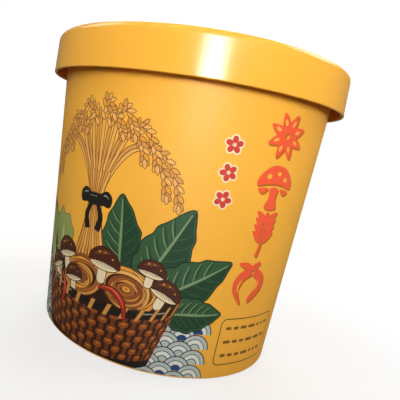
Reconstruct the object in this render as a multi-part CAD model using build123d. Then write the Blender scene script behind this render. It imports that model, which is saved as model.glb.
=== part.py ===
from build123d import *
import os

# A paper cup of instant noodles, sealed over its mouth, with a plastic lid over its rim.
# Millimetres, +Z up. The origin is the middle of the ring that the cup stands on.

# Lid
lid_top_height = 114.0       # crest of the lid's raised ring above the floor
lid_outer_radius = 60.0
lid_skirt_height = 15.2      # from the lid's lower edge to its crest
lid_wall = 1.1
lid_shoulder_radius = 2.5    # round edge between skirt and top
lid_edge_rounding = 0.45     # on both corners of the skirt's lower edge
lid_ring_width = 5.0         # flat raised ring around the sunken middle
lid_panel_drop = 2.0         # how far the middle lies under the ring
lid_slope_run = 0.9          # width of the slope between ring and middle
lid_bead_radius = 0.7        # bead inside the skirt that snaps under the cup's rim
lid_bead_clearance = 0.3     # between the bead and the rim

# Cup
cup_base_radius = 47.8       # outside, at the floor
cup_neck_radius = 54.8       # outside, level with the lid's lower edge
rim_tube_radius = 1.9        # section of the rolled paper rim
rim_clearance = 0.3          # between the rolled rim and the lid's skirt
foot_width = 2.2             # flat ring that the cup stands on
foot_rounding = 0.6
base_recess = 6.0            # how high the bottom sits inside the foot ring
recess_fillet = 1.2

# Sizes that follow from those above
lid_lower_edge = lid_top_height - lid_skirt_height
lid_inner_radius = lid_outer_radius - lid_wall
seal_height = lid_top_height - lid_panel_drop - lid_wall
rim_centre_radius = lid_inner_radius - rim_clearance - rim_tube_radius
rim_centre_height = seal_height - rim_tube_radius
wall_lean = (cup_neck_radius - cup_base_radius) / lid_lower_edge

parts_folder = "parts"
touching = 1e-6


def wall_radius(height):
    """Outside radius of the tapered paper wall at a height."""
    return cup_base_radius + wall_lean * height


def corners_at(sketch, height, least_radius=0.0):
    """Corners of a half profile at one height and beyond a radius."""
    return sketch.vertices().filter_by(
        lambda corner: abs(corner.Y - height) < touching and corner.X > least_radius
    )


def spin(section):
    """Stand up a half profile, drawn with radius along X and height along Y, and turn it."""
    return revolve(Rot(90, 0, 0) * section, Axis.Z, 360)


def cup_section():
    """Half profile of the shut cup: recessed bottom, tapered wall, flat seal, rolled rim."""
    foot_inner = cup_base_radius - foot_width
    outline = Polyline(
        (0, base_recess),
        (foot_inner, base_recess),
        (foot_inner, 0),
        (cup_base_radius, 0),
        (wall_radius(rim_centre_height), rim_centre_height),
        (rim_centre_radius, rim_centre_height),
        (rim_centre_radius, seal_height),
        (0, seal_height),
        close=True,
    )
    section = make_face(outline)
    section = fillet(corners_at(section, 0), foot_rounding)
    section = fillet(corners_at(section, base_recess, touching), recess_fillet)
    rolled_rim = Pos(rim_centre_radius, rim_centre_height) * Circle(rim_tube_radius)
    return section + rolled_rim


def lid_skin():
    """Outer line of the lid's half profile, from the skirt's lower edge to the middle."""
    shoulder_inset = lid_outer_radius - lid_shoulder_radius
    ring_inner = shoulder_inset - lid_ring_width
    panel_height = lid_top_height - lid_panel_drop
    skirt = Line((lid_outer_radius, lid_lower_edge), (lid_outer_radius, lid_top_height - lid_shoulder_radius))
    shoulder = RadiusArc(skirt @ 1, (shoulder_inset, lid_top_height), -lid_shoulder_radius)
    top = Polyline(
        (shoulder_inset, lid_top_height),
        (ring_inner, lid_top_height),
        (ring_inner - lid_slope_run, panel_height),
        (0, panel_height),
    )
    return skirt + shoulder + top


def lid_section():
    """Half profile of the lid: its skin thickened inwards, with the snap bead."""
    section = make_face(offset(lid_skin(), amount=lid_wall, side=Side.LEFT))
    section = fillet(corners_at(section, lid_lower_edge), lid_edge_rounding)
    rim_lowest = rim_centre_height - rim_tube_radius
    bead_height = rim_lowest - lid_bead_clearance - lid_bead_radius
    bead = Pos(lid_inner_radius, bead_height) * Circle(lid_bead_radius)
    return section + bead


def write_part(name, solid):
    """Write one sub-part under its node's name."""
    solid.label = name
    export_step(solid, os.path.join(parts_folder, name + ".step"))


os.makedirs(parts_folder, exist_ok=True)
write_part("cup", spin(cup_section()))
write_part("lid", spin(lid_section()))
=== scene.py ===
import random
from math import atan2, cos, degrees, hypot, pi, radians, sin
import bpy
import numpy as np
from mathutils import Matrix, Vector
from mathutils.geometry import delaunay_2d_cdt


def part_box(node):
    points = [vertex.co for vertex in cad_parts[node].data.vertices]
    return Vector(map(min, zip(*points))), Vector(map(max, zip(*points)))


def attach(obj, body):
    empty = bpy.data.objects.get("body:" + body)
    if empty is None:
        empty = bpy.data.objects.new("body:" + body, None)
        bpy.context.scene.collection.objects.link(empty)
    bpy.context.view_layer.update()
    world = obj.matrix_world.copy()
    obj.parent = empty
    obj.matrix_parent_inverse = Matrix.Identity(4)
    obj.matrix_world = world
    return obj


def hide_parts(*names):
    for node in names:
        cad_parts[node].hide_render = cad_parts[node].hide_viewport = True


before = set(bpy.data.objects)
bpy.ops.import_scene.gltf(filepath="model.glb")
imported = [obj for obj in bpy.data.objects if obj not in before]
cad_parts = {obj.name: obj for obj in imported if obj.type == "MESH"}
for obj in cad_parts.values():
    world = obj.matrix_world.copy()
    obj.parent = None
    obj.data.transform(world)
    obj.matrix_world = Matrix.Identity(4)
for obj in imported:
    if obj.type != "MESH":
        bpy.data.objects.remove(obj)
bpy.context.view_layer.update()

mm = 0.001
_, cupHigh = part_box("cup")
lidLow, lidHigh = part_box("lid")
print("frame loaded:", sorted(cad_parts))


# small helpers for node trees

def link(tree, source, target):
    # a node stands for its first output
    if hasattr(source, "outputs"):
        source = source.outputs[0]
    if hasattr(source, "links"):
        tree.links.new(source, target)
    else:
        target.default_value = source


def node(tree, kind, inputs=(), **settings):
    made = tree.nodes.new(kind)
    for name, value in settings.items():
        setattr(made, name, value)
    for name, value in dict(inputs).items():
        link(tree, value, made.inputs[name])
    return made


def calc(tree, operation, a, b=0.0):
    made = node(tree, "ShaderNodeMath", operation=operation)
    link(tree, a, made.inputs[0])
    link(tree, b, made.inputs[1])
    return made.outputs[0]


def plus(tree, a, b):
    return calc(tree, "ADD", a, b)


def minus(tree, a, b):
    return calc(tree, "SUBTRACT", a, b)


def times(tree, a, b):
    return calc(tree, "MULTIPLY", a, b)


def objectPlace(tree):
    return node(tree, "ShaderNodeTexCoord").outputs["Object"]


def noise(tree, where, scale, detail):
    made = node(tree, "ShaderNodeTexNoise", {"Vector": where, "Scale": scale, "Detail": detail})
    return made.outputs["Fac"]


def groupSockets(tree, inputs, outputs):
    for name, kind, value in inputs:
        socket = tree.interface.new_socket(name, in_out="INPUT", socket_type=kind)
        if value is not None:
            socket.default_value = value
    for name, kind in outputs:
        tree.interface.new_socket(name, in_out="OUTPUT", socket_type=kind)
    return tree.nodes.new("NodeGroupInput").outputs, tree.nodes.new("NodeGroupOutput").inputs


# shader groups that several materials share

toneDict = {"dots": 2600.0, "hue": 0.12, "rough": 1.5}


def makeToneGroup():
    # a colour that drifts a little from place to place, as ink and moulded plastic do
    tree = bpy.data.node_groups.new("toneDrift", "ShaderNodeTree")
    source, result = groupSockets(
        tree, [("Color", "NodeSocketColor", (0.8, 0.8, 0.8, 1)), ("Drift", "NodeSocketFloat", 0.06),
        ("Speckle", "NodeSocketFloat", 0.03), ("Scale", "NodeSocketFloat", 60.0)],
        [("Color", "NodeSocketColor"), ("Roughness Shift", "NodeSocketFloat")])
    place = objectPlace(tree)
    cloud = noise(tree, place, source["Scale"], 3.0)
    dots = noise(tree, place, toneDict["dots"], 2.0)
    slow = times(tree, minus(tree, cloud, 0.5), source["Drift"])
    fine = times(tree, minus(tree, dots, 0.5), source["Speckle"])
    change = plus(tree, slow, fine)
    bright = plus(tree, times(tree, change, 2.0), 1.0)
    hue = plus(tree, times(tree, slow, toneDict["hue"]), 0.5)
    tint = node(tree, "ShaderNodeHueSaturation", {"Hue": hue, "Value": bright, "Color": source["Color"]})
    link(tree, tint.outputs["Color"], result["Color"])
    link(tree, times(tree, change, toneDict["rough"]), result["Roughness Shift"])
    return tree


def makeFibreGroup():
    # the shallow, unevenly stretched relief of coated paper board
    tree = bpy.data.node_groups.new("boardFibre", "ShaderNodeTree")
    source, result = groupSockets(tree, [("Fibre Scale", "NodeSocketFloat", 900.0),
        ("Wave Scale", "NodeSocketFloat", 55.0)], [("Height", "NodeSocketFloat")])
    stretched = node(tree, "ShaderNodeMapping", {"Vector": objectPlace(tree), "Scale": (1.0, 1.0, 0.35)})
    fibre = noise(tree, stretched, source["Fibre Scale"], 4.0)
    wave = noise(tree, stretched, source["Wave Scale"], 1.0)
    both = plus(tree, times(tree, fibre, 0.4), wave)
    link(tree, both, result["Height"])
    return tree


toneGroup = makeToneGroup()
fibreGroup = makeFibreGroup()


def basicMaterial(name, color, look):
    material = bpy.data.materials.new(name)
    material.use_nodes = True
    tree = material.node_tree
    shader = tree.nodes["Principled BSDF"]
    tone = node(tree, "ShaderNodeGroup", node_tree=toneGroup)
    tone.inputs["Color"].default_value = (*color, 1)
    for key in ("drift", "speckle", "scale"):
        tone.inputs[key.title()].default_value = look[key]
    link(tree, tone.outputs["Color"], shader.inputs["Base Color"])
    link(tree, plus(tree, tone.outputs["Roughness Shift"], look["roughness"]), shader.inputs["Roughness"])
    return material, tree, shader


paperDict = {"roughness": 0.46, "drift": 0.05, "speckle": 0.05, "scale": 42.0, "relief": 0.05,
    "depth": 0.00012, "specular": 0.35}


def inkMaterial(name, color):
    # coated board under one printed ink
    material, tree, shader = basicMaterial(name, color, paperDict)
    fibre = node(tree, "ShaderNodeGroup", node_tree=fibreGroup)
    bump = node(tree, "ShaderNodeBump", {"Strength": paperDict["relief"], "Distance": paperDict["depth"],
        "Height": fibre.outputs["Height"]})
    link(tree, bump.outputs["Normal"], shader.inputs["Normal"])
    shader.inputs["Specular IOR Level"].default_value = paperDict["specular"]
    return material


plasticDict = {"color": (0.93, 0.455, 0.05), "roughness": 0.2, "drift": 0.035, "speckle": 0.015,
    "scale": 30.0, "relief": 0.04, "depth": 0.0002, "peel": 220.0, "ior": 1.5}


def lidMaterial():
    # glossy moulded plastic with a faint orange-peel surface
    material, tree, shader = basicMaterial("lidPlastic", plasticDict["color"], plasticDict)
    peel = noise(tree, objectPlace(tree), plasticDict["peel"], 2.0)
    bump = node(tree, "ShaderNodeBump", {"Strength": plasticDict["relief"], "Distance": plasticDict["depth"],
        "Height": peel})
    link(tree, bump.outputs["Normal"], shader.inputs["Normal"])
    shader.inputs["IOR"].default_value = plasticDict["ior"]
    return material


# turned pieces, made by Geometry Nodes

spinDict = {"segments": 180, "join": 0.00001, "sharp": 0.6, "roundSteps": 7}


def makeSpinGroup():
    # turns a profile curve, radius along X and height along Z, around the Z axis
    tree = bpy.data.node_groups.new("spinProfile", "GeometryNodeTree")
    source, result = groupSockets(tree, [("Profile", "NodeSocketGeometry", None),
        ("Segments", "NodeSocketInt", spinDict["segments"])], [("Mesh", "NodeSocketGeometry")])
    points = node(tree, "GeometryNodeCurveToPoints", {"Curve": source["Profile"]}, mode="EVALUATED")
    size = node(tree, "GeometryNodeAttributeDomainSize", {"Geometry": points.outputs["Points"]},
        component="POINTCLOUD")
    count = size.outputs["Point Count"]
    across = minus(tree, count, 1.0)
    grid = node(tree, "GeometryNodeMeshGrid", {"Size X": across, "Size Y": source["Segments"],
        "Vertices X": count, "Vertices Y": plus(tree, source["Segments"], 1.0)})
    where = node(tree, "ShaderNodeSeparateXYZ", {"Vector": node(tree, "GeometryNodeInputPosition")})
    column = plus(tree, plus(tree, where.outputs["X"], times(tree, across, 0.5)), 0.5)
    sample = node(tree, "GeometryNodeSampleIndex", data_type="FLOAT_VECTOR", domain="POINT")
    link(tree, points.outputs["Points"], sample.inputs["Geometry"])
    link(tree, node(tree, "GeometryNodeInputPosition"), sample.inputs["Value"])
    link(tree, calc(tree, "FLOOR", column), sample.inputs["Index"])
    profile = node(tree, "ShaderNodeSeparateXYZ", {"Vector": sample.outputs["Value"]})
    angle = times(tree, calc(tree, "DIVIDE", where.outputs["Y"], source["Segments"]), 2 * pi)
    turnedX = times(tree, profile.outputs["X"], calc(tree, "COSINE", angle))
    turnedY = times(tree, profile.outputs["X"], calc(tree, "SINE", angle))
    turned = node(tree, "ShaderNodeCombineXYZ", {"X": turnedX, "Y": turnedY, "Z": profile.outputs["Z"]})
    moved = node(tree, "GeometryNodeSetPosition", {"Geometry": grid.outputs["Mesh"], "Position": turned})
    joined = node(tree, "GeometryNodeMergeByDistance", {"Geometry": moved, "Distance": spinDict["join"]})
    bend = node(tree, "GeometryNodeInputMeshEdgeAngle")
    sharp = node(tree, "FunctionNodeCompare", {"A": bend.outputs["Unsigned Angle"], "B": spinDict["sharp"]},
        data_type="FLOAT", operation="LESS_THAN")
    smoothFaces = node(tree, "GeometryNodeSetShadeSmooth", {"Geometry": joined, "Shade Smooth": True})
    smoothEdges = node(tree, "GeometryNodeSetShadeSmooth", {"Geometry": smoothFaces,
        "Shade Smooth": sharp}, domain="EDGE")
    link(tree, smoothEdges, result["Mesh"])
    return tree


spinGroup = makeSpinGroup()


def cornerCurve(tree, corners):
    # a curve through corners of (radius, height, rounding), each rounded by its own amount
    index = node(tree, "GeometryNodeInputIndex")
    place = node(tree, "GeometryNodeIndexSwitch", data_type="VECTOR")
    rounding = node(tree, "GeometryNodeIndexSwitch", data_type="FLOAT")
    for switch in (place, rounding):
        while len(switch.index_switch_items) < len(corners):
            switch.index_switch_items.new()
        link(tree, index, switch.inputs[0])
    for i, (radius, height, rounded) in enumerate(corners):
        spot = node(tree, "ShaderNodeCombineXYZ", {"X": radius, "Z": height})
        link(tree, spot, place.inputs[i + 1])
        link(tree, rounded, rounding.inputs[i + 1])
    points = node(tree, "GeometryNodePoints", {"Count": len(corners), "Position": place})
    strung = node(tree, "GeometryNodePointsToCurves", {"Points": points})
    fillet = node(tree, "GeometryNodeFilletCurve", {"Curve": strung, "Count": spinDict["roundSteps"],
        "Radius": rounding, "Limit Radius": True}, mode="POLY")
    return fillet


def finishTree(tree, geometry, material, result):
    real = node(tree, "GeometryNodeRealizeInstances", {"Geometry": geometry})
    coated = node(tree, "GeometryNodeSetMaterial", {"Geometry": real, "Material": material})
    link(tree, coated, result["Geometry"])


def sizedTree(name, sizes):
    tree = bpy.data.node_groups.new(name, "GeometryNodeTree")
    inputs = [("Geometry", "NodeSocketGeometry", None)]
    inputs += [(key, "NodeSocketFloat", value) for key, value in sizes.items()]
    source, result = groupSockets(tree, inputs, [("Geometry", "NodeSocketGeometry")])
    return tree, source, result


def evaluated(name, tree, sizes, mesh=None, even=True):
    # runs a tree with its named sizes and keeps the plain mesh
    holder = bpy.data.objects.new(name, mesh or bpy.data.meshes.new(name + "Start"))
    bpy.context.scene.collection.objects.link(holder)
    modifier = holder.modifiers.new("shape", "NODES")
    modifier.node_group = tree
    for item in tree.interface.items_tree:
        if item.item_type == "SOCKET" and item.in_out == "INPUT" and item.name in sizes:
            modifier[item.identifier] = sizes[item.name]
    if even:
        flat = holder.modifiers.new("evenNormals", "WEIGHTED_NORMAL")
        flat.keep_sharp = True
        flat.weight = 100
    shown = holder.evaluated_get(bpy.context.evaluated_depsgraph_get())
    made = bpy.data.meshes.new_from_object(shown)
    holder.modifiers.clear()
    holder.data = made
    made.name = name
    return holder


lidDict = {"Outer Radius": 60.0 * mm, "Crest": lidHigh.z, "Skirt": 15.2 * mm, "Wall": 1.1 * mm,
    "Shoulder": 2.5 * mm, "Ring Width": 5.0 * mm, "Panel Drop": 2.0 * mm, "Slope Run": 0.9 * mm,
    "Edge": 0.45 * mm}
lidSoft = {"ring": 0.5 * mm, "under": 0.2 * mm, "inset": 0.7 * mm}


def makeLid(material):
    tree, size, result = sizedTree("overcapLid", lidDict)
    outer, crest, wall = size["Outer Radius"], size["Crest"], size["Wall"]
    low = minus(tree, crest, size["Skirt"])
    inner = minus(tree, outer, wall)
    ringInner = minus(tree, minus(tree, outer, size["Shoulder"]), size["Ring Width"])
    panelEdge = minus(tree, ringInner, size["Slope Run"])
    panelTop = minus(tree, crest, size["Panel Drop"])
    under = minus(tree, crest, wall)
    panelUnder = minus(tree, panelTop, wall)
    soft, underSoft, inset = lidSoft["ring"], lidSoft["under"], lidSoft["inset"]
    corners = [(0.0, panelUnder, 0.0), (plus(tree, panelEdge, inset), panelUnder, underSoft),
        (plus(tree, ringInner, inset), under, underSoft),
        (inner, under, minus(tree, size["Shoulder"], wall)),
        (inner, low, size["Edge"]), (outer, low, size["Edge"]), (outer, crest, size["Shoulder"]),
        (ringInner, crest, soft), (panelEdge, panelTop, soft), (0.0, panelTop, 0.0)]
    # from the top down, as for the cup, so that the faces point outwards
    spun = node(tree, "GeometryNodeGroup", node_tree=spinGroup)
    link(tree, cornerCurve(tree, corners[::-1]), spun.inputs["Profile"])
    finishTree(tree, spun, material, result)
    return evaluated("lidShell", tree, lidDict)


cupDict = {"Base Radius": 47.8 * mm, "Neck Radius": 54.8 * mm, "Neck Height": lidLow.z, "Seal": cupHigh.z,
    "Rim Radius": cupHigh.x, "Rim Tube": 1.9 * mm, "Foot Width": 2.2 * mm, "Recess": 6.0 * mm}
cupSoft = {"neck": 0.3 * mm, "foot": 0.6 * mm, "recess": 1.2 * mm}
knurlDict = {"count": 120, "inset": 0.05 * mm, "height": 3.0 * mm, "size": (0.5 * mm, 0.9 * mm, 2.6 * mm)}
lean = (cupDict["Neck Radius"] - cupDict["Base Radius"]) / cupDict["Neck Height"]


def makeCup(material):
    tree, size, result = sizedTree("taperedCup", cupDict)
    base, seal, tube = size["Base Radius"], size["Seal"], size["Rim Tube"]
    slope = calc(tree, "DIVIDE", minus(tree, size["Neck Radius"], base), size["Neck Height"])
    rimLow = minus(tree, seal, times(tree, tube, 2.0))
    wallTop = plus(tree, base, times(tree, slope, rimLow))
    footInner = minus(tree, base, size["Foot Width"])
    corners = [(0.0, seal, 0.0), (size["Rim Radius"], seal, tube), (size["Rim Radius"], rimLow, tube),
        (wallTop, rimLow, cupSoft["neck"]), (base, 0.0, cupSoft["foot"]), (footInner, 0.0, cupSoft["foot"]),
        (footInner, size["Recess"], cupSoft["recess"]), (0.0, size["Recess"], 0.0)]
    spun = node(tree, "GeometryNodeGroup", node_tree=spinGroup)
    link(tree, cornerCurve(tree, corners), spun.inputs["Profile"])
    # knurls that press the folded foot together, standing on the inside of the foot ring
    standing = minus(tree, footInner, knurlDict["inset"])
    ring = node(tree, "GeometryNodeMeshCircle", {"Vertices": knurlDict["count"], "Radius": standing})
    lifted = node(tree, "GeometryNodeTransform", {"Geometry": ring,
        "Translation": (0, 0, knurlDict["height"])})
    knurl = node(tree, "GeometryNodeMeshCube", {"Size": knurlDict["size"]})
    here = node(tree, "GeometryNodeInputPosition")
    facing = node(tree, "FunctionNodeAlignEulerToVector", {"Vector": here}, axis="X", pivot_axis="Z")
    knurls = node(tree, "GeometryNodeInstanceOnPoints", {"Points": lifted, "Instance": knurl,
        "Rotation": facing})
    both = node(tree, "GeometryNodeJoinGeometry")
    link(tree, knurls, both.inputs[0])
    link(tree, spun, both.inputs[0])
    finishTree(tree, both, material, result)
    return evaluated("cupBoard", tree, cupDict)


boardDict = {"print": (0.95, 0.475, 0.055), "board": (0.78, 0.72, 0.60), "printFrom": 46.4 * mm}


def boardMaterial():
    # printed yellow on the outside, bare board under the foot and seal
    material = inkMaterial("cupBoard", boardDict["print"])
    tree = material.node_tree
    tone = [n for n in tree.nodes if n.type == "GROUP" and n.node_tree == toneGroup][0]
    flat = node(tree, "ShaderNodeVectorMath", {0: objectPlace(tree),
        1: (1.0, 1.0, 0.0)}, operation="MULTIPLY")
    away = node(tree, "ShaderNodeVectorMath", {0: flat}, operation="LENGTH")
    outside = calc(tree, "GREATER_THAN", away.outputs["Value"], boardDict["printFrom"])
    mix = node(tree, "ShaderNodeMix", data_type="RGBA")
    link(tree, outside, mix.inputs["Factor"])
    link(tree, (*boardDict["board"], 1), mix.inputs[6])
    link(tree, (*boardDict["print"], 1), mix.inputs[7])
    link(tree, mix.outputs[2], tone.inputs["Color"])
    return material


def place(piece, slotName, *nodes):
    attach(piece, "root")
    if nodes:
        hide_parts(*nodes)


place(makeLid(lidMaterial()), "lid_plastic", "lid")
place(makeCup(boardMaterial()), "printed_paper", "cup")
print("lid and cup turned")


# the print, drawn flat in millimetres: x runs round the wall to the right, z up

sheet = []    # (ink, outline) from the back to the front


def draw(ink, outline):
    sheet.append((ink, outline))


def oval(x, z, halfWidth, halfHeight, turn=0, start=0, end=360, corners=18):
    spread = radians(end - start)
    count = corners if end - start >= 360 else corners + 1
    tilt = radians(turn)
    points = []
    for i in range(count):
        a = radians(start) + spread * i / corners
        u, v = halfWidth * cos(a), halfHeight * sin(a)
        points.append((x + u * cos(tilt) - v * sin(tilt), z + u * sin(tilt) + v * cos(tilt)))
    return points


def smooth(points, steps=6, closed=True):
    # a Catmull-Rom curve through a few points
    n = len(points)
    out = []
    for i in range(n if closed else n - 1):
        if closed:
            a, b, c, d = (points[(i + k) % n] for k in (-1, 0, 1, 2))
        else:
            a, b, c, d = points[max(i - 1, 0)], points[i], points[i + 1], points[min(i + 2, n - 1)]
        for j in range(steps):
            t = j / steps
            out.append(tuple(
                0.5 * (2 * q + (r - p) * t + (2 * p - 5 * q + 4 * r - s) * t * t
                + (3 * q - p - 3 * r + s) * t ** 3)
                for p, q, r, s in zip(a, b, c, d)))
    if not closed:
        out.append(points[-1])
    return out


def curve(points, steps=6):
    return smooth(points, steps, closed=False)


def sidesteps(path):
    # unit normal on the left of a path at each of its points
    out = []
    for i in range(len(path)):
        a, b = path[max(i - 1, 0)], path[min(i + 1, len(path) - 1)]
        dx, dz = b[0] - a[0], b[1] - a[1]
        size = hypot(dx, dz) or 1
        out.append((-dz / size, dx / size))
    return out


def ribbon(path, widths, grow=0):
    # a band along a path; widths at its start, middle and end
    first, middle, last = widths
    left, right = [], []
    for i, ((x, z), (nx, nz)) in enumerate(zip(path, sidesteps(path))):
        t = i / (len(path) - 1)
        width = first + (middle - first) * 2 * t if t < 0.5 else middle + (last - middle) * (2 * t - 1)
        h = width / 2 + grow
        left.append((x + nx * h, z + nz * h))
        right.append((x - nx * h, z - nz * h))
    return left + right[::-1]


def strand(path, width, ink, edgeInk, edge=0.3, ends=0.7):
    draw(edgeInk, ribbon(path, (width * ends, width, width * ends), edge))
    draw(ink, ribbon(path, (width * ends, width, width * ends)))


def line(path, width, ink, ends=0.3):
    draw(ink, ribbon(path, (width * ends, width, width * ends)))


def grown(outline, amount):
    n = len(outline)
    area = sum(ax * bz - bx * az for (ax, az), (bx, bz) in zip(outline, outline[1:] + outline[:1]))
    side = amount if area < 0 else -amount
    out = []
    for i in range(n):
        (ax, az), (bx, bz) = outline[i - 1], outline[(i + 1) % n]
        dx, dz = bx - ax, bz - az
        size = hypot(dx, dz) or 1
        out.append((outline[i][0] - dz / size * side, outline[i][1] + dx / size * side))
    return out


def edged(ink, edgeInk, outline, edge=0.35):
    draw(edgeInk, grown(outline, edge))
    draw(ink, outline)


def placed(outline, x, z, turn=0, size=1.0):
    a = radians(turn)
    return [(x + size * (u * cos(a) - v * sin(a)), z + size * (u * sin(a) + v * cos(a))) for u, v in outline]


sheafDict = {"x": -34.0, "foot": 27.0, "tie": 55.0, "top": 88.0, "spread": 25.0, "stems": 13,
    "grain": 3.1, "pairs": 9, "tieWidth": 7.5}


def grain(x, z, turn, length, ink, edgeInk):
    pip = [(0, 0), (0.3, 0.2), (0.65, 0.19), (1, 0), (0.65, -0.19), (0.3, -0.2)]
    outline = smooth(placed(pip, x, z, turn, length), 2)
    draw(edgeInk, grown(outline, 0.24))
    draw(ink, outline)


def riceEar(path, pairs, length, inks, edgeInk):
    # grains in two rows along the last stretch of a stem, from its tip downwards
    n = len(path)
    for k in range(pairs):
        t = n - 1 - int((n * 0.5) * (k + 0.5) / pairs)
        (x, z), (px, pz) = path[t], path[max(t - 2, 0)]
        heading = degrees(atan2(z - pz, x - px))
        for side in (-1, 1):
            grain(x, z, heading + side * 26, length, inks[(k + (side > 0)) % len(inks)], edgeInk)
    (x, z), (px, pz) = path[-1], path[-3]
    grain(x, z, degrees(atan2(z - pz, x - px)), length, inks[0], edgeInk)


def riceSheaf(size=sheafDict):
    x0, foot, tie = size["x"], size["foot"], size["tie"]
    middle = (size["stems"] - 1) / 2
    order = sorted(range(size["stems"]), key=lambda i: -abs(i - middle))
    paths = []
    for i in order:
        fan = (i - middle) / middle
        reach = fan * size["spread"]
        top = size["top"] - 13 * fan * fan - (3.5 if i % 2 else 0)
        droop = 13 * abs(fan) + 3
        side = 1 if fan >= 0 else -1
        path = curve([(x0 + 9 * fan, foot), (x0 + 2.6 * fan, tie),
            (x0 + 0.42 * reach, tie + 17), (x0 + 0.8 * reach, top),
            (x0 + reach + side * 2.2, top - droop * 0.45), (x0 + 1.06 * reach + side * 3.2, top - droop)], 7)
        paths.append((fan, path))
    for fan, path in paths:
        strand(path, 1.15, "tan" if round(fan * 6) % 2 else "straw", "bark", 0.26, 0.5)
    for fan, path in paths:
        riceEar(path, size["pairs"], size["grain"], ("straw", "tan", "amber"), "bark")
    # a second, shorter set of bare stalks in front, then the tie
    for i in range(9):
        fan = (i - 4) / 4
        path = curve([(x0 + 10 * fan, foot - 1), (x0 + 4.5 * fan, foot + 14),
            (x0 + 2.4 * fan, tie), (x0 + 4.8 * fan, tie + 10)], 5)
        strand(path, 1.3, ("tan", "amber", "straw")[i % 3], "bark", 0.26, 0.6)
    half = size["tieWidth"] / 2
    for side in (-1, 1):
        tail = curve([(x0 + side, tie - 1), (x0 + side * 3.2, tie - 6), (x0 + side * 2.2, tie - 11)], 5)
        draw("black", ribbon(tail, (1.4, 2.2, 2.6)))
        bow = [(x0 + side * 0.6, tie), (x0 + side * 4.5, tie + 3.4),
            (x0 + side * 7.2, tie + 1.4), (x0 + side * 6.2, tie - 2.2)]
        draw("black", smooth(bow, 4))
        line(curve([(x0 + side * 1.6, tie + 0.6), (x0 + side * 4.2, tie + 1.8),
            (x0 + side * 5.8, tie + 1.0)], 4), 0.5, "ash")
    draw("black", smooth([(x0 - half, tie + 1.7), (x0 + half, tie + 1.7),
        (x0 + half, tie - 1.9), (x0 - half, tie - 1.9)], 4))
    line([(x0 - half * 0.7, tie + 0.7), (x0 + half * 0.2, tie + 0.9)], 0.6, "ash")


def darkLeaf(x, z, turn, length, width, wave=0.0):
    # outline with a gently rippled edge around a midrib along +x
    half = width / 2
    def edge(side):
        pts = []
        for k in range(1, 12):
            t = k / 12
            swell = sin(pi * t ** 0.72) ** 0.8
            pts.append((length * t, side * half * swell * (1 + 0.07 * sin(k * 2.3 + wave + side))))
        return pts
    blade = smooth(placed([(0, 0)] + edge(1) + [(length, 0)] + edge(-1)[::-1], x, z, turn), 3)
    edged("leafGreen", "pine", blade, 0.4)
    # darker half, then veins
    lower = smooth(placed([(0, 0)] + [(length, 0)] + edge(-1)[::-1], x, z, turn), 3)
    draw("deepGreen", grown(lower, -0.5))
    for k in range(5):
        t = 0.14 + 0.125 * k
        reach = half * sin(pi * (t + 0.1) ** 0.72) ** 0.8 * 0.84
        for side in (-1, 1):
            vein = curve(placed([(length * t, 0), (length * (t + 0.07), side * reach * 0.5),
                (length * (t + 0.17), side * reach * 0.93)], x, z, turn), 4)
            line(vein, 0.42, "sage" if side > 0 else "leafGreen", 0.4)
            if side > 0:
                shade = curve(placed([(length * (t + 0.03), 0.3), (length * (t + 0.10), side * reach * 0.48),
                    (length * (t + 0.19), side * reach * 0.84)], x, z, turn), 4)
                line(shade, 0.8, "deepGreen", 0.2)
    ribLine = [(-length * 0.06, 0), (length * 0.3, 0.25), (length * 0.65, 0), (length * 0.95, 0)]
    rib = placed(ribLine, x, z, turn)
    line(curve(rib, 4), 1.0, "sage", 0.4)


def spread(shape, length, half):
    return [(u * length, v * half) for u, v in shape]


def paleStalk(x, z, turn, length, width):
    # a thick pale stalk that opens into a frilled light-green leaf
    half = width / 2
    body = spread([(0, -0.42), (0.3, -0.36), (0.55, -0.85), (0.78, -1.05), (0.9, -0.7), (1.0, -0.5),
        (0.97, 0), (1.05, 0.4), (0.92, 0.75), (0.8, 1.08), (0.6, 0.8), (0.3, 0.36), (0, 0.42)], length, half)
    edged("lime", "moss", smooth(placed(body, x, z, turn), 4), 0.35)
    stalk = spread([(0, -0.36), (0.34, -0.28), (0.74, -0.1), (0.76, 0.1), (0.34, 0.28), (0, 0.36)], length,
        half)
    draw("paleLime", smooth(placed(stalk, x, z, turn), 4))
    for k in (-2, -1, 1, 2):
        vein = placed([(length * 0.36, half * 0.10 * k), (length * 0.6, half * 0.22 * k),
            (length * 0.84, half * 0.36 * k)], x, z, turn)
        line(curve(vein, 4), 0.38, "moss", 0.3)


def mushroom(x, z, turn, size):
    stem = [(-0.24, -0.95), (0.24, -0.95), (0.19, 0.1), (-0.19, 0.1)]
    edged("cream", "bark", smooth(placed(stem, x, z, turn, size), 4), 0.3)
    line(placed([(0.06, -0.8), (0.05, -0.1)], x, z, turn, size), 0.4, "straw")
    under = oval(0, -0.02, 0.92, 0.3)
    edged("cream", "soil", placed(under, x, z, turn, size), 0.3)
    for k in range(-5, 6):
        gill = placed([(0.04 * k, 0.1), (0.165 * k, -0.22 + 0.006 * k * k)], x, z, turn, size)
        line(gill, 0.3, "bark", 0.5)
    cap = [(-1.0, 0.0), (-0.86, 0.46), (-0.42, 0.8), (0.0, 0.88), (0.42, 0.8), (0.86, 0.46), (1.0, 0.0),
        (0.55, 0.08), (0, 0.12), (-0.55, 0.08)]
    edged("umber", "soil", smooth(placed(cap, x, z, turn, size), 4), 0.35)
    sheen = [(-0.7, 0.34), (-0.4, 0.62), (0.0, 0.72), (0.36, 0.64), (0.1, 0.56), (-0.3, 0.44)]
    draw("bark", smooth(placed(sheen, x, z, turn, size), 4))
    for u, v, r in ((-0.36, 0.56, 0.07), (0.02, 0.62, 0.05), (0.52, 0.4, 0.06)):
        draw("amber", placed(oval(u, v, r, r * 0.8, corners=8), x, z, turn, size))


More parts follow.
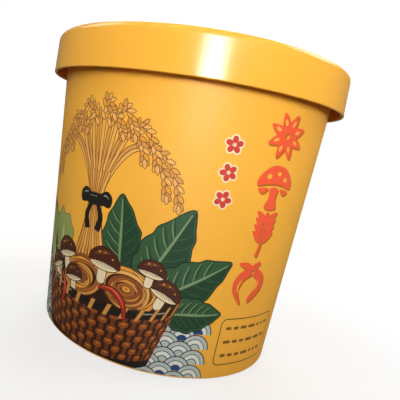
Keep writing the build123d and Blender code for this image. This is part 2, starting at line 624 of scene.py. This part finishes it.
def noodleNest(x, z, width, height, turn=0, loops=6, seed=1):
    rnd = random.Random(seed)
    draw("soil", placed(oval(0, 0, width + 0.5, height + 0.5, corners=28), x, z, turn))
    inks = ("tan", "rust", "amber", "straw", "clay")
    for k in range(loops):
        f = 1 - k / loops
        du, dv = rnd.uniform(-0.06, 0.06) * width * f, rnd.uniform(-0.05, 0.05) * height
        ring = placed(oval(du, dv, width * f, height * f, rnd.uniform(-8, 8), corners=28), x, z, turn)
        draw("bark", ring)
        draw(inks[(k + seed) % len(inks)], grown(ring, -0.28))
        inner = grown(ring, -0.28 - 0.62 * width / loops)
        draw("soil" if k % 2 else "bark", inner)
    for k in range(loops + 2):
        a = rnd.uniform(0, 360)
        sweep = rnd.uniform(60, 150)
        f = rnd.uniform(0.35, 0.92)
        arc = oval(rnd.uniform(-0.12, 0.12) * width, rnd.uniform(-0.1, 0.1) * height, width * f,
            height * f * rnd.uniform(0.85, 1.1), rnd.uniform(-20, 20), a, a + sweep, 14)
        arc = placed(arc, x, z, turn)
        strand(arc, 0.95, inks[(k * 2 + seed) % len(inks)], "bark", 0.24, 0.4)


def chilli(path, width):
    strand(path, width, "chilliRed", "soil", 0.3, 0.35)
    shine = [(x - 0.2, z + 0.35) for x, z in path[2:-4]]
    line(shine, width * 0.22, "coral", 0.2)


basketDict = {"x": -31.0, "rim": 25.5, "rimHalf": 33.0, "rimSag": 8.0, "foot": 6.5, "footHalf": 27.0,
    "footSag": 5.2, "rows": 7, "columns": 22}


def basketPoint(u, v, size=basketDict):
    # u is -1 at the left end, 1 at the right end; v is 0 at the foot, 1 at the rim
    half = size["footHalf"] + (size["rimHalf"] - size["footHalf"]) * v
    sag = size["footSag"] + (size["rimSag"] - size["footSag"]) * v
    height = size["foot"] + (size["rim"] - size["foot"]) * v
    return (size["x"] + half * sin(u * pi / 2), height - sag * cos(u * pi / 2))


def basketBand(v0, v1, ink, u0=-1.0, u1=1.0, steps=28):
    low = [basketPoint(u0 + (u1 - u0) * i / steps, v0) for i in range(steps + 1)]
    high = [basketPoint(u0 + (u1 - u0) * i / steps, v1) for i in range(steps + 1)]
    draw(ink, low + high[::-1])


def basketInside(size=basketDict):
    draw("soil", oval(size["x"], size["rim"], size["rimHalf"], size["rimSag"], corners=36))


def basketFront(size=basketDict):
    basketBand(-0.16, 0.0, "black")
    basketBand(-0.02, 1.0, "soil")
    inks = ("rust", "clay")
    for row in range(size["rows"]):
        v0, v1 = row / size["rows"], (row + 0.86) / size["rows"]
        for column in range(size["columns"]):
            u0 = -1 + 2 * (column + 0.06) / size["columns"]
            u1 = -1 + 2 * (column + 0.94) / size["columns"]
            mid = (u0 + u1) / 2
            if (row + column) % 2:
                cell = [basketPoint(u0, v0 + 0.01), basketPoint(mid, v0 - 0.008), basketPoint(u1, v0 + 0.01),
                    basketPoint(u1, v1 - 0.01), basketPoint(mid, v1 + 0.008), basketPoint(u0, v1 - 0.01)]
                draw(inks[(row * 3 + column) % 2], cell)
                draw("amber", [basketPoint(u0 + 0.012, v1 - 0.045), basketPoint(mid, v1 - 0.03),
                    basketPoint(u1 - 0.012, v1 - 0.045), basketPoint(mid, v1 - 0.052)])
            else:
                w = (u1 - u0) * 0.24
                draw("bark", [basketPoint(mid - w, v0 - 0.02), basketPoint(mid + w, v0 - 0.02),
                    basketPoint(mid + w, v1 + 0.02), basketPoint(mid - w, v1 + 0.02)])
    basketBand(0.93, 1.13, "black")
    basketBand(1.04, 1.075, "ash", -0.78, -0.2)
    basketBand(1.045, 1.07, "ash", 0.42, 0.66)
    for k in range(15):
        u = -0.94 + 1.88 * k / 14
        lash = [basketPoint(u - 0.012, 0.9), basketPoint(u + 0.02, 0.9), basketPoint(u + 0.05, 1.155),
            basketPoint(u + 0.018, 1.155)]
        draw("bark", grown(lash, 0.22))
        draw("tan", lash)


wavesDict = {"radius": 5.4, "rise": 2.75, "corners": 12, "topRow": 16}


def waveFan(x, z, core):
    r = wavesDict["radius"]
    inks = ("navy", "mist", "navy", "frost", "navy", core)
    steps = (1.0, 0.93, 0.70, 0.65, 0.40, 0.34)
    for ink, step in zip(inks, steps):
        draw(ink, oval(x, z, r * step, r * step, 0, 0, 180, wavesDict["corners"]))


def waves(x0, x1, height):
    # fans between two places; height(x) is how high they reach there
    r = wavesDict["radius"]
    first, last = int(x0 / r) - 1, int(x1 / r) + 1
    for row in range(wavesDict["topRow"], -2, -1):
        for k in range(first, last + 1):
            if (k + row) % 2:
                continue
            cx, cz = k * r, row * wavesDict["rise"]
            if x0 <= cx <= x1 and cz <= height(cx):
                waveFan(cx, cz, "lapis" if (k * 3 + row * 5) % 7 < 2 else "mist")


signDict = {"x": 27.6, "heights": (87.0, 69.7, 53.0, 35.2), "size": 7.7, "shade": (0.55, -0.5)}


def starAnise():
    shapes = []
    for k in range(8):
        petal = [(0.1, 0), (0.38, 0.2), (0.66, 0.2), (1.05, 0.02), (0.66, -0.17), (0.38, -0.17)]
        shapes.append(placed(smooth(petal, 3), 0, 0, 22.5 + 45 * k))
    return shapes, [placed(oval(0.6, 0, 0.15, 0.07, corners=10), 0, 0, 22.5 + 45 * k) for k in range(8)]


def toadstool():
    cap = smooth([(-1.0, 0.02), (-0.86, 0.5), (-0.4, 0.88), (0.05, 0.95), (0.5, 0.84), (0.92, 0.44),
        (1.02, 0.0), (0.5, 0.1), (0, 0.14), (-0.5, 0.1)], 4)
    stem = smooth([(-0.24, -0.06), (0.24, -0.06), (0.2, -0.5), (0.36, -0.92), (0, -1.0), (-0.36, -0.92),
        (-0.2, -0.5)], 3)
    left = smooth([(-0.36, -0.06), (-0.9, -0.14), (-0.62, -0.32)], 3)
    right = smooth([(0.36, -0.06), (0.9, -0.14), (0.62, -0.32)], 3)
    holes = [oval(-0.42, 0.44, 0.14, 0.11, 20, corners=10), oval(0.12, 0.6, 0.12, 0.09, corners=10),
        oval(0.56, 0.36, 0.12, 0.1, -20, corners=10)]
    return [cap, stem, left, right], holes


def cornEar():
    shapes = [ribbon(curve([(-0.1, -1.0), (0.0, -0.4), (0.02, 0.7)], 5), (0.16, 0.13, 0.1))]
    pip = smooth([(0, 0), (0.2, 0.16), (0.46, 0.17), (0.72, 0.0), (0.46, -0.1), (0.2, -0.1)], 3)
    for k in range(4):
        z = -0.34 + 0.3 * k
        for side in (-1, 1):
            shapes.append(placed([(u, v * side) for u, v in pip], 0.09 * side, z, 90 - side * 46))
    shapes.append(placed(pip, 0.02, 0.5, 92, 0.8))
    return shapes, []


def twinChillies():
    a = ribbon(curve([(-0.1, 0.62), (-0.62, 0.3), (-0.78, -0.3), (-0.36, -0.94)], 5), (0.42, 0.42, 0.05))
    b = ribbon(curve([(0.14, 0.6), (0.6, 0.28), (0.62, -0.2), (0.2, -0.7), (0.1, -0.86)], 5),
        (0.42, 0.42, 0.05))
    stalk = ribbon(curve([(0.0, 0.66), (0.06, 0.86), (0.34, 1.0)], 4), (0.5, 0.22, 0.16))
    leaf = smooth([(-0.04, 0.78), (-0.4, 1.02), (-0.9, 0.96), (-0.5, 0.74)], 3)
    shine = [ribbon(curve([(-0.5, 0.2), (-0.66, -0.1), (-0.6, -0.4)], 4), (0.04, 0.1, 0.03)),
        ribbon(curve([(0.5, 0.2), (0.52, -0.1), (0.38, -0.36)], 4), (0.04, 0.1, 0.03))]
    return [a, b, stalk, leaf], shine


def redSigns():
    x = signDict["x"]
    for z, shape in zip(signDict["heights"], (starAnise, toadstool, cornEar, twinChillies)):
        solid, holes = shape()
        dx, dz = signDict["shade"]
        for outline in solid:
            draw("ember", placed(grown(outline, 0.02), x + dx, z + dz, 0, signDict["size"]))
        for outline in solid:
            draw("vermilion", placed(outline, x, z, 0, signDict["size"]))
        for outline in holes:
            draw("ground", placed(outline, x, z, 0, signDict["size"]))


blossomDict = {"x": 9.2, "heights": (81.2, 72.2, 63.4), "size": 2.9}


def blossoms():
    # small five-petalled blossoms with a pale edge
    x = blossomDict["x"]
    for i, z in enumerate(blossomDict["heights"]):
        petals = [placed(oval(0.6, 0, 0.42, 0.34, corners=12), x, z, 90 + 72 * k + 24 * i,
            blossomDict["size"]) for k in range(5)]
        for petal in petals:
            draw("cream", grown(petal, 0.5))
        draw("cream", oval(x, z, 1.2, 1.2, corners=12))
        for petal in petals:
            draw("crimson", petal)
        draw("cream", oval(x, z, 0.62, 0.62, corners=10))
        for k in range(5):
            draw("crimson", placed(oval(0.14, 0, 0.05, 0.05, corners=6), x, z, 54 + 72 * k + 24 * i,
                blossomDict["size"]))


panelDict = {"left": 19.4, "right": 49.0, "bottom": 5.0, "top": 22.6, "corner": 2.4, "line": 0.42,
    "rows": (18.9, 13.8, 8.7), "margin": 2.6, "bars": (1.6, 2.4, 3.2, 4.0), "gap": 1.1, "seed": 3}


def roundedBox(left, right, bottom, top, corner):
    points = []
    for cx, cz, start in ((right - corner, top - corner, 0), (left + corner, top - corner, 90),
            (left + corner, bottom + corner, 180), (right - corner, bottom + corner, 270)):
        points += oval(cx, cz, corner, corner, 0, start, start + 90, 5)
    return points


def framedRows(box=panelDict):
    left, right = box["left"], box["right"]
    draw("sepia", roundedBox(left, right, box["bottom"], box["top"], box["corner"]))
    inset = box["line"]
    draw("ground", roundedBox(left + inset, right - inset, box["bottom"] + inset, box["top"] - inset,
        box["corner"] - inset))
    rnd = random.Random(box["seed"])
    for z in box["rows"]:
        x = left + box["margin"]
        while x < right - 4.5:
            wide = min(rnd.choice(box["bars"]), right - box["margin"] - x)
            draw("sepia", roundedBox(x, x + wide, z - 0.55, z + 0.55, 0.5))
            x += wide + box["gap"]


def frontPicture():
    waves(-9, 13, lambda x: 33 - (x - 2) * 1.6 if x > 2 else 36)
    waves(-90, -58, lambda x: 44 - abs(x + 70) * 1.2)
    for x, z, turn, length, width in ((-58, 30, 128, 27, 14), (-63, 28, 160, 22, 12),
            (-20, 30, 96, 29, 15), (-12, 28, 66, 33, 17), (-8, 25, 34, 31, 16), (-2, 22, 6, 20, 12)):
        darkLeaf(x, z, turn, length, width, x)
    basketInside()
    riceSheaf()
    paleStalk(-58, 22, 118, 26, 15)
    paleStalk(-53, 21, 86, 25, 15)
    noodleNest(-17, 27, 11, 7.6, -8, 6, 2)
    noodleNest(-37, 26, 10.5, 7.2, 6, 6, 5)
    for spot in ((-47, 32, 14, 6.2), (-3.5, 28.5, -22, 5.6), (-27, 33.5, -4, 6.6), (-9, 35, -10, 5.0),
            (-54, 25.5, 24, 5.0), (-41, 24.5, 8, 5.0)):
        mushroom(*spot)
    basketFront()
    chilli(curve([(-28, 25), (-22, 25.5), (-17.5, 22), (-16, 16.5)], 6), 2.3)
    chilli(curve([(-50, 24), (-46.5, 21), (-46, 16), (-48, 12)], 6), 2.1)
    redSigns()
    blossoms()
    framedRows()


inkColours = {   # as light, in plain 0-1 values
    "ground": (0.95, 0.475, 0.055), "straw": (0.86, 0.46, 0.12), "tan": (0.70, 0.32, 0.07),
    "amber": (0.80, 0.36, 0.05), "rust": (0.42, 0.13, 0.03), "clay": (0.33, 0.085, 0.02),
    "bark": (0.17, 0.05, 0.015), "umber": (0.075, 0.02, 0.01), "soil": (0.035, 0.012, 0.006),
    "black": (0.012, 0.010, 0.008), "ash": (0.42, 0.40, 0.36), "pine": (0.008, 0.022, 0.012),
    "deepGreen": (0.016, 0.055, 0.025), "leafGreen": (0.035, 0.10, 0.042), "sage": (0.20, 0.30, 0.14),
    "moss": (0.12, 0.17, 0.04), "lime": (0.33, 0.40, 0.12), "paleLime": (0.50, 0.54, 0.24),
    "cream": (0.86, 0.74, 0.50), "mist": (0.50, 0.58, 0.54), "frost": (0.78, 0.80, 0.74),
    "navy": (0.018, 0.032, 0.07), "lapis": (0.02, 0.065, 0.22), "vermilion": (0.92, 0.115, 0.045),
    "ember": (0.55, 0.13, 0.015), "crimson": (0.62, 0.05, 0.03), "coral": (0.85, 0.22, 0.12),
    "chilliRed": (0.45, 0.03, 0.015), "sepia": (0.22, 0.085, 0.02),
}


bandDict = {"height": 11, "swing": 4, "length": 9, "left": (-172, -90), "right": (72, 172)}
stillDict = {"places": (112, -118), "leafBase": 22, "leafTurns": (118, 62), "leafLength": 26,
    "leafWidth": 13}
listDict = {"left": 132.0, "right": 157.0, "bottom": 34.0, "top": 84.0, "corner": 2.6, "line": 0.5,
    "innerCorner": 2.2, "rows": 11, "firstRow": 79.5, "pitch": 4.1}


def bandHeight(x):
    return bandDict["height"] + bandDict["swing"] * sin(abs(x) / bandDict["length"])


def backPicture():
    # the side away from the front: a low wave band, two small still lifes and a plain panel of rows
    waves(*bandDict["left"], bandHeight)
    waves(*bandDict["right"], bandHeight)
    for side in stillDict["places"]:
        for k, turn in enumerate(stillDict["leafTurns"]):
            darkLeaf(side - 6 + 12 * k, stillDict["leafBase"], turn, stillDict["leafLength"],
                stillDict["leafWidth"], side + k)
        noodleNest(side, 22, 11, 7, 0, 6, 4)
        mushroom(side - 10, 24, 14, 6.0)
        mushroom(side + 10, 24, -12, 5.6)
    left, right, low, high = (listDict[key] for key in ("left", "right", "bottom", "top"))
    inset = listDict["line"]
    draw("sepia", roundedBox(left, right, low, high, listDict["corner"]))
    draw("cream", roundedBox(left + inset, right - inset, low + inset, high - inset,
        listDict["innerCorner"]))
    for row in range(listDict["rows"]):
        z = listDict["firstRow"] - listDict["pitch"] * row
        draw("sepia", roundedBox(left + 3, left + 9 + (row * 5) % 4, z - 0.5, z + 0.5, 0.45))
        draw("sepia", roundedBox(right - 7 - (row * 3) % 3, right - 3, z - 0.5, z + 0.5, 0.45))
        draw("straw", roundedBox(left + 2.5, right - 2.5, z - 2.15, z - 1.95, 0.08))


wallDict = {"bottom": 0.7, "top": 106.0, "step": 2.0, "lift": 0.05, "labelRadius": 51.566, "least": 0.02,
    "snap": 0.0005, "edge": 0.01}
halfRound = pi * wallDict["labelRadius"]


def splitSheet():
    # cuts the flat sheet along every outline, and along upright lines that let it bend round the wall
    low, high = wallDict["bottom"], wallDict["top"]
    corners = [(-halfRound, low), (halfRound, low), (halfRound, high), (-halfRound, high)]
    points = [Vector(p) for p in corners]
    edges = [(0, 1), (1, 2), (2, 3), (3, 0)]
    steps = int(360 / wallDict["step"])
    for i in range(1, steps):
        x = -halfRound + 2 * halfRound * i / steps
        points += [Vector((x, low)), Vector((x, high))]
        edges.append((len(points) - 2, len(points) - 1))
    kept = []
    for ink, outline in sheet:
        inside = [(min(max(x, -halfRound), halfRound), min(max(z, low), high)) for x, z in outline]
        spans = [max(along) - min(along) for along in zip(*inside)]
        if min(spans) < wallDict["least"]:
            continue
        kept.append((ink, inside))
        first = len(points)
        points += [Vector(p) for p in inside]
        edges += [(first + k, first + (k + 1) % len(inside)) for k in range(len(inside))]
    cut = delaunay_2d_cdt(points, edges, [], 0, wallDict["snap"], False)
    return cut[0], cut[2], kept


def topInks(points, faces, kept):
    # each triangle takes the ink of the last outline drawn over its middle
    corners = np.array([tuple(p) for p in points])
    middles = corners[np.array([tuple(f) for f in faces])].mean(axis=1)
    order = np.argsort(middles[:, 0])
    sortedX = middles[order, 0]
    top = np.full(len(faces), -1)
    for number, (_, outline) in enumerate(kept):
        shape = np.array(outline)
        first, last = np.searchsorted(sortedX, (shape[:, 0].min(), shape[:, 0].max()))
        near = order[first:last]
        spot = middles[near]
        near = near[(spot[:, 1] > shape[:, 1].min()) & (spot[:, 1] < shape[:, 1].max())]
        x, z = middles[near, 0][:, None], middles[near, 1][:, None]
        ax, az = shape[:, 0], shape[:, 1]
        bx, bz = np.roll(ax, -1), np.roll(az, -1)
        side = (bx - ax) * (z - az) - (x - ax) * (bz - az)
        winding = ((az <= z) & (bz > z) & (side > 0)).sum(1) - ((az > z) & (bz <= z) & (side < 0)).sum(1)
        top[near[winding != 0]] = number
    return top


wrapDict = {"Base Radius": cupDict["Base Radius"], "Lean": lean,
    "Label Radius": wallDict["labelRadius"] * mm, "Lift": wallDict["lift"] * mm}


def makeWrapTree():
    # bends a flat sheet, x along the wall and y up, round the tapered wall
    tree, size, result = sizedTree("wrapOnTaper", wrapDict)
    tree.interface.new_socket("Material", in_out="INPUT", socket_type="NodeSocketMaterial")
    flat = node(tree, "ShaderNodeSeparateXYZ", {"Vector": node(tree, "GeometryNodeInputPosition")})
    angle = calc(tree, "DIVIDE", flat.outputs["X"], size["Label Radius"])
    wall = plus(tree, size["Base Radius"], times(tree, size["Lean"], flat.outputs["Y"]))
    radius = plus(tree, wall, size["Lift"])
    bent = node(tree, "ShaderNodeCombineXYZ", {"X": times(tree, radius, calc(tree, "SINE", angle)),
        "Y": times(tree, times(tree, radius, -1.0), calc(tree, "COSINE", angle)), "Z": flat.outputs["Y"]})
    moved = node(tree, "GeometryNodeSetPosition", {"Geometry": size["Geometry"], "Position": bent})
    finishTree(tree, moved, size["Material"], result)
    return tree


def wrapPiece(name, tree, corners, faces, material):
    used = sorted({i for f in faces for i in f})
    number = {old: new for new, old in enumerate(used)}
    mesh = bpy.data.meshes.new(name)
    mesh.from_pydata([(corners[i][0] * mm, corners[i][1] * mm, 0) for i in used], [],
        [[number[i] for i in f] for f in faces])
    unrolled = mesh.uv_layers.new(name="OFBake")
    xs, zs = [corners[i][0] for i in used], [corners[i][1] for i in used]
    left, low = min(xs), min(zs)
    wide, tall = max(max(xs) - left, 0.1), max(max(zs) - low, 0.1)
    rim = wallDict["edge"]
    share = 1 - 2 * rim
    for loop in mesh.loops:
        x, z, _ = mesh.vertices[loop.vertex_index].co
        unrolled.data[loop.index].uv = (rim + share * (x / mm - left) / wide,
            rim + share * (z / mm - low) / tall)
    piece = evaluated(name, tree, {**wrapDict, "Material": material}, mesh, even=False)
    tilt = Vector((1, 0, -lean)).normalized()
    normals = []
    for corner in piece.data.vertices:
        away = Vector((corner.co.x, corner.co.y, 0)).normalized()
        normals.append(away * tilt.x + Vector((0, 0, tilt.z)))
    piece.data.shade_smooth()
    piece.data.normals_split_custom_set_from_vertices(normals)
    return piece


def printWall():
    frontPicture()
    backPicture()
    corners, faces, kept = splitSheet()
    top = topInks(corners, faces, kept)
    print("sheet cut into", len(faces), "faces from", len(kept), "outlines")
    byInk = {}
    for face, number in zip(faces, top):
        byInk.setdefault(kept[number][0] if number >= 0 else "ground", []).append(face)
    tree = makeWrapTree()
    for ink, own in sorted(byInk.items()):
        piece = wrapPiece("print" + ink[0].upper() + ink[1:], tree, corners, own,
            inkMaterial(ink + "Ink", inkColours[ink]))
        place(piece, "printed_paper")
    print("inks printed:", len(byInk))


printWall()


seamDict = {"width": 1.4, "thickness": 0.28, "angle": 180.0, "bottom": 0.8, "top": 98.0, "rounds": 8}


def makeSeam(material):
    # where the wall's board overlaps itself, up the back of the cup
    rings = []
    for k in range(seamDict["rounds"] + 1):
        turn = (k / seamDict["rounds"] - 0.5) * seamDict["width"] / wallDict["labelRadius"]
        rise = seamDict["thickness"] * min(1, 4 * (1 - k / seamDict["rounds"]))
        rings.append((turn + radians(seamDict["angle"]), rise))
    points, faces = [], []
    for angle, rise in rings:
        for z in (seamDict["bottom"], seamDict["top"]):
            for out in (0.0, rise):
                r = (cupDict["Base Radius"] / mm + lean * z + wallDict["lift"] + out) * mm
                points.append((r * sin(angle), -r * cos(angle), z * mm))
    for k in range(len(rings) - 1):
        a, b = 4 * k, 4 * k + 4
        faces += [(a + 1, b + 1, b + 3, a + 3), (a, a + 2, b + 2, b), (a + 2, a + 3, b + 3, b + 2),
            (a, b, b + 1, a + 1)]
    last = 4 * (len(rings) - 1)
    faces += [(0, 1, 3, 2), (last, last + 2, last + 3, last + 1)]
    mesh = bpy.data.meshes.new("sideSeam")
    mesh.from_pydata(points, [], faces)
    mesh.materials.append(material)
    piece = bpy.data.objects.new("sideSeam", mesh)
    bpy.context.scene.collection.objects.link(piece)
    return piece


place(makeSeam(inkMaterial("seamBoard", inkColours["ground"])), "printed_paper")
print("seam laid")


# floor, light and camera

stageDict = {"floorSize": 6.0, "floor": (0.15, 0.13, 0.11), "shown": 1.0, "world": 0.24,
    "sky": (1.0, 0.88, 0.68), "glow": 0.62, "clearFrom": 0.06, "clearTo": 0.15, "seen": 0.98,
    "roughness": 0.9}


def makeFloor():
    mesh = bpy.data.meshes.new("floor")
    half = stageDict["floorSize"] / 2
    mesh.from_pydata([(-half, -half, 0), (half, -half, 0), (half, half, 0), (-half, half, 0)], [],
        [(0, 1, 2, 3)])
    floor = bpy.data.objects.new("floor", mesh)
    bpy.context.scene.collection.objects.link(floor)
    material = bpy.data.materials.new("paleFloor")
    material.use_nodes = True
    tree = material.node_tree
    shader = tree.nodes["Principled BSDF"]
    shader.inputs["Roughness"].default_value = stageDict["roughness"]
    path = node(tree, "ShaderNodeLightPath")
    mix = node(tree, "ShaderNodeMix", data_type="RGBA")
    link(tree, path.outputs["Is Camera Ray"], mix.inputs["Factor"])
    link(tree, (*stageDict["floor"], 1), mix.inputs[6])
    link(tree, (*[stageDict["seen"]] * 3, 1), mix.inputs[7])
    link(tree, mix.outputs[2], shader.inputs["Base Color"])
    # away from the cup the floor is seen plain white, and close to it the shadow stays
    away = node(tree, "ShaderNodeVectorMath", {0: objectPlace(tree)}, operation="LENGTH")
    near, far = stageDict["clearFrom"], stageDict["clearTo"]
    clear = node(tree, "ShaderNodeMapRange", {"Value": away.outputs["Value"], "From Min": near,
        "From Max": far, "To Min": stageDict["glow"], "To Max": 1.0}, interpolation_type="SMOOTHSTEP")
    white = node(tree, "ShaderNodeEmission", {"Strength": 1.0})
    share = times(tree, clear, path.outputs["Is Camera Ray"])
    blend = node(tree, "ShaderNodeMixShader")
    link(tree, share, blend.inputs[0])
    link(tree, shader, blend.inputs[1])
    link(tree, white, blend.inputs[2])
    link(tree, blend, tree.nodes["Material Output"].inputs["Surface"])
    mesh.materials.append(material)


def makeWorld():
    world = bpy.data.worlds.new("studio")
    bpy.context.scene.world = world
    world.use_nodes = True
    tree = world.node_tree
    back = tree.nodes["Background"]
    path = node(tree, "ShaderNodeLightPath")
    seen = node(tree, "ShaderNodeMix", data_type="RGBA")
    link(tree, path.outputs["Is Camera Ray"], seen.inputs["Factor"])
    link(tree, (*stageDict["sky"], 1), seen.inputs[6])
    link(tree, (1, 1, 1, 1), seen.inputs[7])
    link(tree, seen.outputs[2], back.inputs["Color"])
    level = node(tree, "ShaderNodeMix", data_type="FLOAT")
    link(tree, path.outputs["Is Camera Ray"], level.inputs["Factor"])
    level.inputs[2].default_value = stageDict["world"]
    level.inputs[3].default_value = stageDict["shown"]
    link(tree, level, back.inputs["Strength"])


lampDict = {
    # name: (place, aimed at, width, height, power, spread in degrees)
    "tallWindow": ((0.025, -0.55, 0.225), (0.0, -0.06, 0.165), 0.15, 0.26, 0.185, 34),
    "overhead": ((0.0, -0.30, 0.62), (0.0, 0.0, 0.12), 0.8, 0.5, 0.30, 110),
    "frontWash": ((0.17, -0.62, 0.36), (0.03, 0.0, 0.20), 1.5, 0.2, 0.22, 60),
    "backFill": ((0.2, 0.9, 0.5), (0.0, 0.0, 0.06), 0.9, 0.6, 2.4, 110),
    "rightFill": ((0.60, 0.10, 0.62), (0.0, 0.0, 0.10), 0.4, 0.4, 0.75, 110),
    "leftFill": ((-0.60, 0.14, 0.62), (0.0, 0.0, 0.10), 0.4, 0.4, 0.65, 110),
}


def makeLamps():
    for name, (spot, aim, width, height, power, spread) in lampDict.items():
        lamp = bpy.data.lights.new(name, "AREA")
        lamp.shape = "RECTANGLE"
        lamp.size, lamp.size_y = width, height
        lamp.energy = power
        lamp.spread = radians(spread)
        holder = bpy.data.objects.new(name, lamp)
        holder.location = spot
        holder.rotation_euler = (Vector(aim) - Vector(spot)).to_track_quat("-Z", "Y").to_euler()
        bpy.context.scene.collection.objects.link(holder)


cameraDict = {"place": (-0.02148, -0.18482, 0.07809), "tilt": -3.94, "roll": 9.91, "lens": 37.67,
    "shift": (0.1725, -0.085), "sensor": 36.0, "clip": (0.005, 20.0)}


def makeCamera():
    camera = bpy.data.cameras.new("camera")
    camera.lens = cameraDict["lens"]
    camera.sensor_width = cameraDict["sensor"]
    camera.shift_x, camera.shift_y = cameraDict["shift"]
    camera.clip_start, camera.clip_end = cameraDict["clip"]
    holder = bpy.data.objects.new("camera", camera)
    tilt = Matrix.Rotation(radians(90 + cameraDict["tilt"]), 4, "X")
    roll = Matrix.Rotation(radians(cameraDict["roll"]), 4, "Z")
    holder.matrix_world = Matrix.Translation(cameraDict["place"]) @ (tilt @ roll)
    bpy.context.scene.collection.objects.link(holder)
    bpy.context.scene.camera = holder


makeFloor()
makeWorld()
makeLamps()
makeCamera()
bpy.context.scene.view_settings.view_transform = "Standard"
print("stage set")
